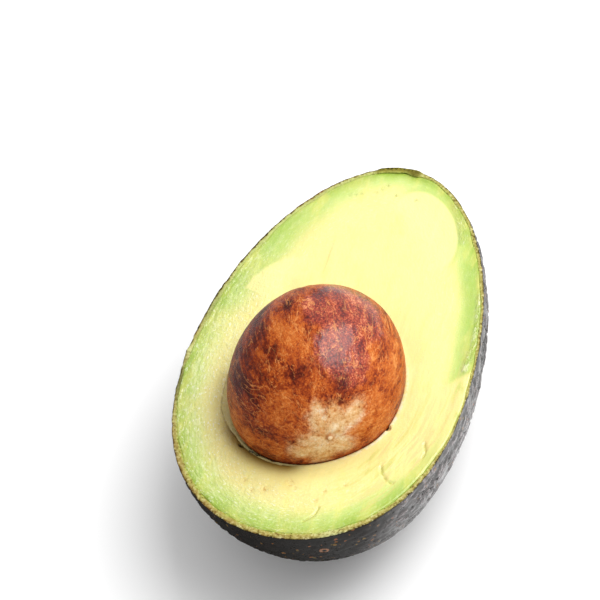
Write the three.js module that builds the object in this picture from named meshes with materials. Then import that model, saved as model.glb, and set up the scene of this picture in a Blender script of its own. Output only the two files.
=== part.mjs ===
import * as THREE from "three";
import { mergeVertices } from "three/addons/utils/BufferGeometryUtils.js";

// Half of a ripe avocado, cut lengthways and lying on its rounded back, with the seed still in the
// flesh. Millimetres. +Y runs to the stem end, +X across the cut face and +Z up. The half is
// described with its cut face in the plane z = 0 and is then tipped to the way it lies.

// The whole fruit before the cut has round sections, set along an axis just under the cut face
const HALF_LENGTH = 50;
const HALF_WIDTH = 31.1;
const NECK_TAPER = 0.136; // narrows the sections steadily towards the stem end
const END_FULLNESS = 0.066; // rounds out both ends
const SHOULDER = 0.036; // draws in the stem end once more, so that the neck has shoulders
const AXIS_BOW = 1.6; // how far the axis bows sideways towards its two ends
const AXIS_DEPTH = 2.0; // depth of the axis below the cut face at mid length
const AXIS_SLOPE = 0.067; // further depth for each millimetre towards the stem end

// The layers
const SKIN_THICKNESS = 1.5;
const GAP = 0.3;

// The seed, standing proud of the cut face
const SEED_RADIUS = 17.7;
const SEED_STRETCH = 1.124; // length over width
const SEED_CENTRE = new THREE.Vector3(1.0, -12.7, 5.1);
const SEED_TURN = THREE.MathUtils.degToRad(-7.4);
const SEED_LUMP = 0.012; // how far the seed departs from an even egg, as a share of its radius

// The pebbled relief of the skin, somewhat larger than life
const PEBBLE_SPACING = 6.0; // the least distance between the tops of two pebbles
const PEBBLE_RADIUS = 4.5;
const PEBBLE_HEIGHT = 1.0;
const PEBBLE_TRIES = 6000;

// How the half lies: tipped about X until its weight is over the flat spot that it rests on
const REST_TIP = THREE.MathUtils.degToRad(1);
const FLAT_SPOT_DEPTH = 1.0;

// How finely the surfaces are divided
const SIDES = 90;
const OUTER_RINGS = 34;
const INNER_RINGS = 10;
const SOCKET_RINGS = 8;
const SEED_SIDES = 44;
const SEED_RINGS = 26;

const QUARTER_TURN = Math.PI / 2;
const DOWN = new THREE.Vector3(0, -Math.sin(REST_TIP), -Math.cos(REST_TIP));

// A repeatable stream of numbers from 0 to 1
function randomStream(seed) {
  let state = seed;
  return () => {
    state = (state * 16807) % 2147483647;
    return state / 2147483647;
  };
}

// The radius of the fruit's round section at y, for a surface that lies inset inside the skin's outside
function sectionRadius(y, inset) {
  const c = THREE.MathUtils.clamp(y / (HALF_LENGTH - inset), -1, 1);
  const shape = 1 - NECK_TAPER * c + END_FULLNESS * c ** 2 - SHOULDER * c ** 3;
  return (HALF_WIDTH - inset) * Math.sqrt(1 - c ** 2) * shape;
}

function isInside(point, inset) {
  const axisX = AXIS_BOW * (point.y / HALF_LENGTH) ** 2;
  const axisZ = -(AXIS_DEPTH + AXIS_SLOPE * point.y);
  return Math.hypot(point.x - axisX, point.z - axisZ) < sectionRadius(point.y, inset);
}

// Where a ray from the middle of the cut face leaves the fruit, found by halving the stretch it lies in
function surfacePoint(direction, inset) {
  let near = 0;
  let far = 2 * HALF_LENGTH;
  for (let step = 0; step < 40; step++) {
    const middle = (near + far) / 2;
    if (isInside(direction.clone().multiplyScalar(middle), inset)) near = middle;
    else far = middle;
  }
  return direction.clone().multiplyScalar(near);
}

// A direction into the half: turn goes round the cut face, and rise goes from straight down at 0 to
// the plane of the cut at 1
function backDirection(turn, rise) {
  const angle = rise * QUARTER_TURN;
  return new THREE.Vector3(
    HALF_WIDTH * Math.sin(angle) * Math.cos(turn),
    HALF_LENGTH * Math.sin(angle) * Math.sin(turn),
    rise === 1 ? 0 : -HALF_WIDTH * Math.cos(angle),
  ).normalize();
}

// The pebbles stand at random all over the back, and none is closer to another than the spacing
function pebbleTops() {
  const random = randomStream(7);
  const tops = [];
  for (let i = 0; i < PEBBLE_TRIES; i++) {
    const turn = random() * 2 * Math.PI;
    const top = surfacePoint(backDirection(turn, Math.acos(random()) / QUARTER_TURN), 0);
    if (tops.every((other) => other.distanceTo(top) > PEBBLE_SPACING)) tops.push(top);
  }
  return tops;
}

const pebbles = pebbleTops();

// A pebble is a low dome, and the nearest one sets the height of the skin
function pebbleHeight(point) {
  const distance = Math.min(...pebbles.map((pebble) => pebble.distanceTo(point)));
  return PEBBLE_HEIGHT * (Math.max(0, 1 - (distance / PEBBLE_RADIUS) ** 2) - 0.5);
}

// The depth of the lowest point of the back, measured straight down as the half lies
function lowestDepth() {
  let depth = 0;
  for (let ring = 0; ring <= OUTER_RINGS; ring++) {
    for (let side = 0; side < SIDES; side++) {
      const direction = backDirection((side / SIDES) * 2 * Math.PI, ring / OUTER_RINGS);
      depth = Math.max(depth, surfacePoint(direction, 0).dot(DOWN));
    }
  }
  return depth;
}

const REST_DEPTH = lowestDepth() - FLAT_SPOT_DEPTH;

// Presses what lies below the resting plane up to it, which leaves the flat spot
function pressFlat(point, inset) {
  const excess = point.dot(DOWN) - (REST_DEPTH - inset);
  return excess > 0 ? point.addScaledVector(DOWN, -excess) : point;
}

function backPoint(turn, rise, inset, relief) {
  const point = surfacePoint(backDirection(turn, rise), inset);
  if (relief) point.setLength(point.length() + pebbleHeight(point));
  return pressFlat(point, inset);
}

// A loop of points round the cut face's middle, one for each side
function loop(pointAt) {
  return Array.from({ length: SIDES }, (_, side) => pointAt((side / SIDES) * 2 * Math.PI));
}

// Loops up the back from beside its lowest point to the rim, the rim last
function backLoops(inset, rings, relief) {
  return Array.from({ length: rings }, (_, i) => {
    return loop((turn) => backPoint(turn, (i + 1) / rings, inset, relief));
  });
}

// A closed body from a first point, a run of loops and a last point, with its faces pointing out
function bodyFromLoops(first, loops, last) {
  const points = [first, ...loops.flat(), last];
  const index = [];
  const at = (ring, side) => 1 + ring * SIDES + (side % SIDES);
  for (let side = 0; side < SIDES; side++) {
    index.push(0, at(0, side + 1), at(0, side));
    for (let ring = 0; ring < loops.length - 1; ring++) {
      index.push(at(ring, side), at(ring, side + 1), at(ring + 1, side + 1));
      index.push(at(ring, side), at(ring + 1, side + 1), at(ring + 1, side));
    }
    index.push(points.length - 1, at(loops.length - 1, side), at(loops.length - 1, side + 1));
  }
  const geometry = new THREE.BufferGeometry().setFromPoints(points);
  geometry.setIndex(index);
  geometry.computeVertexNormals();
  return geometry;
}

// A point on the seed or its socket: sweep goes round it, and fall from its foot at 0 to its top at pi
function seedPoint(sweep, fall, clearance) {
  const side = Math.sin(fall);
  const unit = new THREE.Vector3(side * Math.cos(sweep), side * Math.sin(sweep), -Math.cos(fall));
  const lumps = 1 + SEED_LUMP * Math.sin(2 * sweep + 1) * side ** 2 + SEED_LUMP * unit.z * unit.y;
  return unit
    .multiplyScalar(SEED_RADIUS * lumps + clearance)
    .multiply(new THREE.Vector3(1, SEED_STRETCH, 1))
    .applyAxisAngle(new THREE.Vector3(0, 0, 1), SEED_TURN)
    .add(SEED_CENTRE);
}

// The skin: a tough pebbled shell, its cut edge level with the flesh
function skinGeometry() {
  const outside = backLoops(0, OUTER_RINGS, true);
  const inside = backLoops(SKIN_THICKNESS, INNER_RINGS, false).reverse();
  const outerFoot = backPoint(0, 0, 0, true);
  const innerFoot = backPoint(0, 0, SKIN_THICKNESS, false);
  return bodyFromLoops(outerFoot, [...outside, ...inside], innerFoot);
}

// The flesh: fills the skin, flat across the cut, with the socket that the seed grew in
function fleshGeometry() {
  const inset = SKIN_THICKNESS + GAP;
  const back = backLoops(inset, INNER_RINGS, false);
  const mouth = Math.acos(SEED_CENTRE.z / (SEED_RADIUS + GAP));
  const socket = Array.from({ length: SOCKET_RINGS }, (_, i) => {
    return loop((turn) => {
      const point = seedPoint(turn, mouth * (1 - i / SOCKET_RINGS), GAP);
      return i === 0 ? point.setZ(0) : point;
    });
  });
  return bodyFromLoops(backPoint(0, 0, inset, false), [...back, ...socket], seedPoint(0, 0, GAP));
}

// The seed: a smooth heavy egg with faint lumps
function seedGeometry() {
  const geometry = new THREE.SphereGeometry(1, SEED_SIDES, SEED_RINGS);
  geometry.rotateX(QUARTER_TURN);
  const position = geometry.attributes.position;
  for (let i = 0; i < position.count; i++) {
    const unit = new THREE.Vector3().fromBufferAttribute(position, i);
    const fall = Math.acos(THREE.MathUtils.clamp(-unit.z, -1, 1));
    const point = seedPoint(Math.atan2(unit.y, unit.x), fall, 0);
    position.setXYZ(i, point.x, point.y, point.z);
  }
  geometry.deleteAttribute("uv");
  geometry.deleteAttribute("normal");
  const closed = mergeVertices(geometry, 0.001);
  closed.computeVertexNormals();
  return closed;
}

function piece(name, geometry, color, roughness) {
  const mesh = new THREE.Mesh(geometry, new THREE.MeshStandardMaterial({ color, roughness, metalness: 0 }));
  mesh.name = name;
  return mesh;
}

const half = new THREE.Group();
half.add(piece("skin", skinGeometry(), 0x2b2622, 0.4));
half.add(piece("flesh", fleshGeometry(), 0xe6e29a, 0.5));
half.add(piece("seed", seedGeometry(), 0x8a4020, 0.45));
half.rotation.x = REST_TIP;

// The origin is under the middle of the half, on the surface that it lies on
const avocado = new THREE.Group();
avocado.add(half);
const box = new THREE.Box3().setFromObject(avocado, true);
const middle = box.getCenter(new THREE.Vector3());
half.position.set(-middle.x, -middle.y, -box.min.z);

export default avocado;
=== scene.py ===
import math

import bpy
import numpy as np
from mathutils import Matrix, Vector
from mathutils.kdtree import KDTree


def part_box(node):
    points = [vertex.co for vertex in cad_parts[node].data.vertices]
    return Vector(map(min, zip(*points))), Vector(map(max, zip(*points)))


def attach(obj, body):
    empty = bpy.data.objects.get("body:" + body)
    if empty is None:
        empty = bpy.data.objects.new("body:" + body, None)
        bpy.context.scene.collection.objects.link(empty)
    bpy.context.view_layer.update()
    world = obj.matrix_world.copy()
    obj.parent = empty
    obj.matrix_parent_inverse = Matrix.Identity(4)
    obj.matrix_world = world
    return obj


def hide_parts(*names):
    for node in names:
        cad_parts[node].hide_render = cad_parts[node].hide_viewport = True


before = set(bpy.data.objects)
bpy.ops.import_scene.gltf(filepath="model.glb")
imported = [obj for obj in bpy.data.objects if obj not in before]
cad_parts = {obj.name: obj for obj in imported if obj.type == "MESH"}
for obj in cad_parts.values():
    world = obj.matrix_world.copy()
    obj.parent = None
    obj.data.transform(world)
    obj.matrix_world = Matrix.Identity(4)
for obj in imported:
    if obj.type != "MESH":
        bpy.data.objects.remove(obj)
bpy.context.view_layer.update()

# Where the half lies. Every piece is made in millimetres, with the cut face in the plane z = 0 and
# +y to the stem end, and lay_down takes it to its place. The seed's own box says where that is.
MM = 0.001
REST_TIP = math.radians(1)
SEED_CENTRE = Vector((1.0, -12.7, 5.1))

tip = Matrix.Rotation(REST_TIP, 4, "X")
seed_low, seed_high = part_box("seed")
face_middle = (seed_low + seed_high) / 2 - tip @ (SEED_CENTRE * MM)
lay_down = Matrix.Translation(face_middle) @ tip @ Matrix.Scale(MM, 4)

# The camera looks down on the cut face from beyond the blossom end, a little from the right and
# rolled, and stands where the fruit comes to its place in the photograph's frame.
CAMERA_DISTANCE = 0.6
CAMERA_LENS = 171
CAMERA_AZIMUTH = math.radians(28.6)
CAMERA_ELEVATION = math.radians(48.4)
CAMERA_ROLL = math.radians(-15.65)
CAMERA_ASIDE = Vector((-7.5, 8.9, 0)) * MM

turned = (
    Matrix.Rotation(CAMERA_AZIMUTH, 3, "Z")
    @ Matrix.Rotation(math.pi / 2 - CAMERA_ELEVATION, 3, "X")
    @ Matrix.Rotation(CAMERA_ROLL, 3, "Z")
)
camera = bpy.data.objects.new("camera", bpy.data.cameras.new("camera"))
camera.data.lens = CAMERA_LENS
camera.location = face_middle + turned @ (Vector((0, 0, CAMERA_DISTANCE)) + CAMERA_ASIDE)
camera.rotation_euler = turned.to_euler()
bpy.context.scene.collection.objects.link(camera)
bpy.context.scene.camera = camera

# The skin is the tough pebbled peel, a little over 1 mm thick. It grew round the flesh as one shell
# and was cut with it, so that its edge shows as a band round the face, thin where the flesh swells
# over it. At the stem end the knife left a torn lip of it standing.
HALF_LENGTH = 50
HALF_WIDTH = 31.1
NECK_TAPER = 0.136
END_FULLNESS = 0.066
SHOULDER = 0.036
AXIS_BOW = 1.6
AXIS_DEPTH = 2.0
AXIS_SLOPE = 0.067
SIDES = 600
OUTER_RINGS = 118
INNER_RINGS = 12
SKIN_THICKNESS = 1.1
THICK_EDGE = 0.2
THIN_EDGE = 0.4
PINCHED_EDGE = 0.35
BARE_EDGE = 0.6
EDGE_WANDER = 0.2
OVERHANG = 0.1
INNER_FOOT = 1.3
PEBBLE_SIZE = 2.1
PEBBLE_STRETCH = 1.75
PEBBLE_HEIGHT = 0.5
WRINKLE_HEIGHT = 0.1
RIPPLE_HEIGHT = 0.16
CALM_BELOW_CUT = 1.6
CALM_END = (-32, -42)
LIP_HEIGHT = 0.5
LIP_REACH = 0.62
STEM_SCAR = (1.6, 50, -5.6)
STEM_SCAR_RADIUS = 3.4
BLOSSOM_SCAR = (10.4, -47.8, -5.4)
BLOSSOM_SCAR_RADIUS = 0.85


def scatter(cells, seed):
    """Three repeatable random numbers from 0 to 1 for each whole-numbered cell."""
    key = cells @ np.array([73856093, 19349663, 83492791]) + seed * 15485863
    numbers = []
    for prime in (1274126177, 668265263, 374761393):
        stirred = ((key ^ (key >> 13)) * prime) & 0x7FFFFFFF
        numbers.append((stirred ^ (stirred >> 15)) & 0xFFFF)
    return np.stack(numbers, axis=-1) / 0xFFFF


def soft_noise(points, size, seed):
    """Smooth noise from -1 to 1, in lumps of about the given size."""
    spot = points / size
    cell = np.floor(spot).astype(np.int64)
    part = spot - cell
    part = part * part * (3 - 2 * part)
    total = np.zeros(points.shape[:-1])
    for corner in np.ndindex(2, 2, 2):
        weight = np.prod(np.where(corner, part, 1 - part), axis=-1)
        total += weight * scatter(cell + corner, seed)[..., 0]
    return 2 * total - 1


def nearest_grains(points, size, seed):
    """The distances to the nearest and the next of randomly placed grains, in their own spacing."""
    spot = points / size
    cell = np.floor(spot).astype(np.int64)
    first = np.full(points.shape[:-1], 9.0)
    second = first.copy()
    for step in np.ndindex(3, 3, 3):
        near = cell + np.array(step) - 1
        distance = np.linalg.norm(near + scatter(near, seed) - spot, axis=-1)
        second = np.minimum(second, np.maximum(first, distance))
        first = np.minimum(first, distance)
    return first, second


def smooth_step(low, high, value):
    """0 below low, 1 above high and a smooth rise between."""
    part = np.clip((value - low) / (high - low), 0, 1)
    return part * part * (3 - 2 * part)


def hump(turn, centre, half_width):
    """A smooth hump of height 1 round the cut face, at an angle and with a half width in degrees."""
    away = (np.degrees(turn) - centre + 180) % 360 - 180
    return np.exp(-((away / half_width) ** 2))


def section_radius(y, inset):
    """The radius of the fruit's round section at y, for a surface inset inside its outside."""
    c = np.clip(y / (HALF_LENGTH - inset), -1, 1)
    shape = 1 - NECK_TAPER * c + END_FULLNESS * c**2 - SHOULDER * c**3
    return (HALF_WIDTH - inset) * np.sqrt(1 - c**2) * shape


def outside_by(points, inset):
    """How far points lie outside the fruit's surface, measured across its axis."""
    x, y, z = np.moveaxis(points, -1, 0)
    across = np.hypot(x - AXIS_BOW * (y / HALF_LENGTH) ** 2, z + AXIS_DEPTH + AXIS_SLOPE * y)
    return across - section_radius(y, inset)


def back_points(turn, rise, inset):
    """Points on the back. Turn goes round the face, and rise from straight down at 0 to the cut at 1."""
    angle = rise * math.pi / 2
    level = np.where(rise == 1, 0, np.cos(angle))
    ray = np.stack(
        np.broadcast_arrays(
            HALF_WIDTH * np.sin(angle) * np.cos(turn),
            HALF_LENGTH * np.sin(angle) * np.sin(turn),
            -HALF_WIDTH * level,
        ),
        axis=-1,
    )
    ray = ray / np.linalg.norm(ray, axis=-1, keepdims=True)
    near = np.zeros(ray.shape[:-1])
    far = near + 2 * HALF_LENGTH
    for _ in range(36):
        middle = (near + far) / 2
        inside = outside_by(ray * middle[..., None], inset) < 0
        near = np.where(inside, middle, near)
        far = np.where(inside, far, middle)
    return ray * near[..., None]


def outward(points):
    """The direction straight out of the fruit's surface at points."""
    step = 0.05
    slope = [
        outside_by(points + step * axis, 0) - outside_by(points - step * axis, 0)
        for axis in np.eye(3)
    ]
    slope = np.stack(slope, axis=-1)
    return slope / np.linalg.norm(slope, axis=-1, keepdims=True)


def round_rim(turn):
    """Points that go round with the rim of the face, a little inside it, to take noise at."""
    return np.stack([26 * np.cos(turn), 42 * np.sin(turn), 0 * turn], axis=-1)


def edge_width(turn):
    """How wide the cut edge of the skin is round the face."""
    wander = soft_noise(round_rim(turn), 4.5, 14) + 0.6 * soft_noise(round_rim(turn), 1.8, 15)
    even = SKIN_THICKNESS + THICK_EDGE * hump(turn, 260, 60) - THIN_EDGE * hump(turn, 10, 55)
    even -= PINCHED_EDGE * hump(turn, 197, 11) + BARE_EDGE * hump(turn, -18, 15)
    return np.maximum(even + EDGE_WANDER * wander, 0.15)


def ball(points, centre):
    """The distance of points from a centre."""
    return np.linalg.norm(points - np.array(centre), axis=-1)


def closed_piece(name, foot, rings, top, marks, lowest):
    """A closed mesh from a first point, rings of points and a last point, laid down in the frame.

    Marks are named values for each point, in the same order, that the material reads."""
    points = np.concatenate([foot[None], rings.reshape(-1, 3), top[None]])
    matrix = np.array(lay_down)
    placed = points @ matrix[:3, :3].T + matrix[:3, 3]
    placed[:, 2] = np.maximum(placed[:, 2], lowest * MM)
    count, sides = rings.shape[:2]
    side = np.arange(sides)
    after = (side + 1) % sides
    base = 1 + sides * np.arange(count - 1)[:, None]
    quads = np.stack(
        [base + side, base + after, base + sides + after, base + sides + side], axis=-1
    ).reshape(-1, 4)
    first_fan = np.stack([0 * side, 1 + after, 1 + side], axis=-1)
    last = 1 + sides * (count - 1)
    end = len(points) - 1
    last_fan = np.stack([0 * side + end, last + side, last + after], axis=-1)
    mesh = bpy.data.meshes.new(name)
    mesh.from_pydata(placed, [], first_fan.tolist() + quads.tolist() + last_fan.tolist())
    mesh.polygons.foreach_set("use_smooth", np.ones(len(mesh.polygons), bool))
    for title, values in marks.items():
        values = np.asarray(values, np.float32)
        kind, field = ("FLOAT", "value") if values.ndim == 1 else ("FLOAT_VECTOR", "vector")
        mesh.attributes.new(title, kind, "POINT").data.foreach_set(field, values.ravel())
    made = bpy.data.objects.new(name, mesh)
    bpy.context.scene.collection.objects.link(made)
    return made


turns = np.arange(SIDES) / SIDES * 2 * math.pi
ring_share = np.arange(1, OUTER_RINGS + 1)[:, None] / OUTER_RINGS
smooth_back = back_points(turns[None], ring_share, 0)
squeezed = smooth_back * (1, 1 / PEBBLE_STRETCH, 1)
bent = squeezed + 1.5 * np.stack([soft_noise(squeezed, 3.0, s) for s in (1, 2, 3)], axis=-1)
first, second = nearest_grains(bent, PEBBLE_SIZE, 4)
pebble = smooth_step(0.0, 0.34, second - first) * (1.15 - 0.5 * first**2)
calm = 0.62 + 0.25 * soft_noise(smooth_back, 9, 5) + 0.3 * soft_noise(smooth_back, 4, 16)
stem_scar = smooth_step(1.15, 0.9, ball(smooth_back, STEM_SCAR) / STEM_SCAR_RADIUS)
blossom_ring = ball(smooth_back, BLOSSOM_SCAR) / BLOSSOM_SCAR_RADIUS
blossom_scar = smooth_step(1.5, 0.9, blossom_ring)
relief = PEBBLE_HEIGHT * (pebble - 0.7) * calm
relief += WRINKLE_HEIGHT * soft_noise(squeezed, 1.1, 6) + RIPPLE_HEIGHT * soft_noise(squeezed, 2.6, 12)
relief *= 1 - 0.65 * smooth_step(-CALM_BELOW_CUT, 0, smooth_back[..., 2])
relief *= 1 - 0.45 * smooth_step(*CALM_END, smooth_back[..., 1])
relief *= (1 - stem_scar) * (1 - blossom_scar)
relief += stem_scar * (0.18 * soft_noise(smooth_back, 0.9, 7) - 0.7)
relief += 0.22 * np.exp(-(((blossom_ring - 0.8) / 0.35) ** 2))
outside = smooth_back + outward(smooth_back) * relief[..., None]
outside[-1, :, 2] = 0

# The cut edge runs in from the outside of the skin to its crumbled inner side. At the stem end it is
# rolled over the face instead, as a torn lip.
EDGE_SHARES = (0.04, 0.1, 0.2, 0.32, 0.44, 0.56, 0.68, 0.8, 0.9, 1.0)
rim = outside[-1]
rim_place = round_rim(turns)
width = edge_width(turns)
inner_rim = back_points(turns, np.ones(SIDES), width)
inward = inner_rim - rim
inward = inward / np.linalg.norm(inward, axis=-1, keepdims=True)
crumbs = soft_noise(rim_place, 1.3, 8) + 0.6 * soft_noise(rim_place, 0.55, 9)
crumbled_rim = inner_rim + inward * (OVERHANG * (1 + crumbs))[:, None]
degrees = np.degrees(turns)
lip = smooth_step(77.5, 79.5, degrees) * smooth_step(99.5, 96, degrees)
lip_swell = 1 + 0.3 * hump(turns, 81, 2.2) - 0.2 * hump(turns, 85.5, 1.5)
lip_swell += 0.1 * soft_noise(rim_place, 3, 13)
lip_rim = smooth_back[-1]
torn = hump(turns, 187.5, 2.4) * (0.7 + 0.6 * soft_noise(rim_place, 0.7, 17))
edge_rings = []
for share in EDGE_SHARES:
    ring = rim + (crumbled_rim - rim) * share - inward * (0.5 * torn * (1 - share) ** 2)[:, None]
    ring[:, 2] += 0.25 * torn * math.sin(math.pi * share)
    lumps = soft_noise(rim_place + 9 * share, 0.8, 10)
    lumps += 0.7 * soft_noise(rim_place + 5 * share, 0.4, 11)
    ring[:, 2] += 0.12 * smooth_step(0, 0.15, share) * (1 + 0.7 * lumps)
    ring[:, 2] -= 0.16 * smooth_step(0.8, 1, share)
    angle = math.radians(200 - 245 * share)
    reach = LIP_REACH * (1 + math.cos(angle)) * lip_swell
    lift = LIP_HEIGHT * (0.35 + math.sin(angle)) * lip_swell + 0.03 * lumps
    rolled = lip_rim + inward * reach[:, None]
    rolled[:, 2] += lift
    edge_rings.append(ring + (rolled - ring) * lip[:, None])
under_edge = edge_rings[-1] - (0, 0, 0.12)
inner_share = np.linspace(0.99, 1 / INNER_RINGS, INNER_RINGS)[:, None]
inner_back = back_points(turns[None], inner_share, width)
skin_rings = np.concatenate([outside, edge_rings, under_edge[None], inner_back])
skin_foot = back_points(np.zeros(1), np.zeros(1), 0)[0]
skin_top = back_points(np.zeros(1), np.zeros(1), SKIN_THICKNESS)[0]


def ring_marks(foot, values, top):
    """Values for rings of points, with one for the first point and one for the last."""
    flat = [np.broadcast_to(v, (SIDES,)) for v in values]
    return np.concatenate([[foot], *flat, [top]])


edge_count = len(EDGE_SHARES)
inner_count = 1 + INNER_RINGS


def edge_marks(values):
    """Values for the cut edge of the skin, with none for its outside and its inside."""
    return ring_marks(0, [*np.zeros(OUTER_RINGS), *[values] * edge_count, *np.zeros(inner_count)], 0)


pale_rim = 0.6 * hump(turns, 293, 4)
reddish_rim = hump(turns, 122, 9) + hump(turns, 181.5, 1.6) + 0.6 * hump(turns, 240, 50)
dark_rim = hump(turns, 197, 6) + 0.6 * hump(turns, 172, 7)
notched_rim = np.clip(0.2 + 0.8 * hump(turns, 285, 50), 0, 1)
skin_marks = {
    "across": ring_marks(0, [*np.zeros(OUTER_RINGS), *EDGE_SHARES, *np.ones(inner_count)], 1),
    "pebble": ring_marks(0.5, [*pebble, *np.ones(edge_count + inner_count)], 1),
    "stem": ring_marks(0, [*stem_scar, *np.zeros(edge_count + inner_count)], 0),
    "blossom": ring_marks(9, [*blossom_ring, *np.full(edge_count + inner_count, 9)], 9),
    "lip": edge_marks(lip),
    "torn": edge_marks(torn + pale_rim),
    "reddish": edge_marks(np.clip(reddish_rim, 0, 1)),
    "dark_rim": edge_marks(dark_rim),
    "lump": edge_marks(hump(turns, 80.5, 2.6)),
    "rind": edge_marks(hump(turns, 138, 44)),
    "notched": edge_marks(notched_rim),
    "place": np.concatenate([skin_foot[None], skin_rings.reshape(-1, 3), skin_top[None]]),
}
skin = closed_piece("peel", skin_foot, skin_rings, skin_top, skin_marks, 0)
inner_start = 1 + SIDES * (OUTER_RINGS + edge_count + 1)
for index in range(inner_start, len(skin.data.vertices)):
    corner = skin.data.vertices[index].co
    corner.z = max(corner.z, INNER_FOOT * MM)


def seen(red, green, blue):
    """A colour as it is seen, from 0 to 255, in the linear values that materials use."""
    shares = (value / 255 for value in (red, green, blue))
    return (*(s / 12.92 if s <= 0.04045 else ((s + 0.055) / 1.055) ** 2.4 for s in shares), 1)


def add_node(tree, kind, sockets=(), **settings):
    """A node with its settings made and its sockets fed with values or with other nodes' outputs."""
    made = tree.nodes.new("ShaderNode" + kind)
    for name, value in settings.items():
        setattr(made, name, value)
    for name, value in dict(sockets).items():
        if isinstance(value, bpy.types.NodeSocket):
            tree.links.new(value, made.inputs[name])
        else:
            made.inputs[name].default_value = value
    return made


def mixed(tree, share, a, b):
    """Colour a turning into colour b by a share."""
    return add_node(tree, "Mix", {0: share, 6: a, 7: b}, data_type="RGBA").outputs[2]


def maths(tree, operation, *values, clamp=False):
    """One step of arithmetic on values."""
    return add_node(tree, "Math", enumerate(values), operation=operation, use_clamp=clamp).outputs[0]


def times(tree, first, second):
    """The product of two values."""
    return maths(tree, "MULTIPLY", first, second)


def painted(tree, under, paint, mask, strength):
    """A colour with another laid over it at a strength, where a mask is."""
    return mixed(tree, times(tree, mask, strength), under, paint)


def rise_between(tree, value, low, high, to_low=0.0, to_high=1.0):
    """A value's smooth rise from to_low at low to to_high at high."""
    sockets = {"Value": value, "From Min": low, "From Max": high, "To Min": to_low, "To Max": to_high}
    return add_node(tree, "MapRange", sockets, interpolation_type="SMOOTHSTEP").outputs["Result"]


def tints(tree, value, stops):
    """A run of colours along a value from 0 to 1."""
    made = add_node(tree, "ValToRGB", {"Fac": value})
    made.color_ramp.elements.remove(made.color_ramp.elements[1])
    for place, (position, colour) in enumerate(stops):
        stop = made.color_ramp.elements[0] if place == 0 else made.color_ramp.elements.new(position)
        stop.position = position
        stop.color = colour
    return made.outputs["Color"]


def mark(tree, name, vector=False):
    """A named value of the mesh."""
    return add_node(tree, "Attribute", attribute_name=name).outputs["Vector" if vector else "Fac"]


def stretched(tree, place, scale):
    """A place scaled by its own amount along each axis."""
    return add_node(tree, "VectorMath", {0: place, 1: scale}, operation="MULTIPLY").outputs[0]


def speckle(tree, place, scale, detail=3.0, roughness=0.55, distortion=0.0):
    """Noise from 0 to 1 at a place in millimetres, with scale as lumps to the millimetre."""
    sockets = {"Vector": place, "Scale": scale, "Detail": detail, "Roughness": roughness}
    return add_node(tree, "TexNoise", {**sockets, "Distortion": distortion}).outputs["Fac"]


def blotches(tree, place, scale, detail, low, high, roughness=0.55):
    """Noise at a place, risen to 0 and 1 at two of its values."""
    return rise_between(tree, speckle(tree, place, scale, detail, roughness), low, high)


def new_group(name, inputs, outputs):
    """An empty node group with named value and vector inputs, and named value or colour outputs."""
    group = bpy.data.node_groups.new(name, "ShaderNodeTree")
    for title, kind in inputs.items():
        group.interface.new_socket(title, in_out="INPUT", socket_type="NodeSocket" + kind)
    for title, kind in outputs.items():
        group.interface.new_socket(title, in_out="OUTPUT", socket_type="NodeSocket" + kind)
    entry = group.nodes.new("NodeGroupInput")
    leave = group.nodes.new("NodeGroupOutput")
    return group, entry.outputs, leave.inputs


def placed_group(tree, group, sockets):
    """A node group placed in a material with its own values."""
    return add_node(tree, "Group", sockets, node_tree=group).outputs


def new_material(name):
    """An empty material, its node tree and the output that its surface goes to."""
    material = bpy.data.materials.new(name)
    material.use_nodes = True
    material.node_tree.nodes.clear()
    output = add_node(material.node_tree, "OutputMaterial")
    return material, material.node_tree, output.inputs["Surface"]


def give_surface(tree, surface, sockets):
    """A material's shader, with its sockets fed."""
    shader = add_node(tree, "BsdfPrincipled", sockets)
    tree.links.new(shader.outputs[0], surface)


# Round flecks strewn at random, with some cells of their grid left bare. They are the lenticels and
# the small pits of the skin, and the pores along its cut edge.
flecks, given, result = new_group(
    "strewn_flecks",
    {"Place": "Vector", "Scale": "Float", "Size": "Float", "Share": "Float"},
    {"Mask": "Float", "Tone": "Float"},
)
wobble = add_node(flecks, "TexNoise", {"Vector": given["Place"], "Scale": 2.2, "Detail": 2.0})
moved = add_node(
    flecks, "VectorMath", {0: wobble.outputs["Color"], 1: (0.35, 0.35, 0.35), 2: given["Place"]},
    operation="MULTIPLY_ADD",
)
grid = add_node(flecks, "TexVoronoi", {"Vector": moved.outputs[0], "Scale": given["Scale"]})
hue = add_node(flecks, "SeparateColor", {0: grid.outputs["Color"]})
present = maths(flecks, "LESS_THAN", hue.outputs[0], given["Share"])
reach = times(flecks, given["Size"], maths(flecks, "ADD", hue.outputs[1], 0.45))
closeness = maths(flecks, "DIVIDE", grid.outputs["Distance"], reach)
round_fleck = times(flecks, rise_between(flecks, closeness, 1.0, 0.55), present)
flecks.links.new(round_fleck, result["Mask"])
flecks.links.new(hue.outputs[2], result["Tone"])

peel, tree, surface = new_material("pebbled_peel")
place = mark(tree, "place", vector=True)
height = mark(tree, "pebble")
cut = mark(tree, "across")
patches = blotches(tree, place, 0.07, 2.0, 0.38, 0.62)
outer = mixed(tree, patches, seen(24, 24, 16), seen(40, 30, 29))
axes = add_node(tree, "SeparateXYZ", {0: place}).outputs
# Towards the blossom end and the left the skin is matt, and its colour is darkened there as painted shade;
# the rest is its lit, glossier side
matt_shaded_bottom = rise_between(tree, maths(tree, "MULTIPLY_ADD", axes["X"], 0.25, axes["Y"]), -29.0, -41.0)
lit_glossy_side = maths(tree, "SUBTRACT", 1.0, matt_shaded_bottom)
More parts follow.
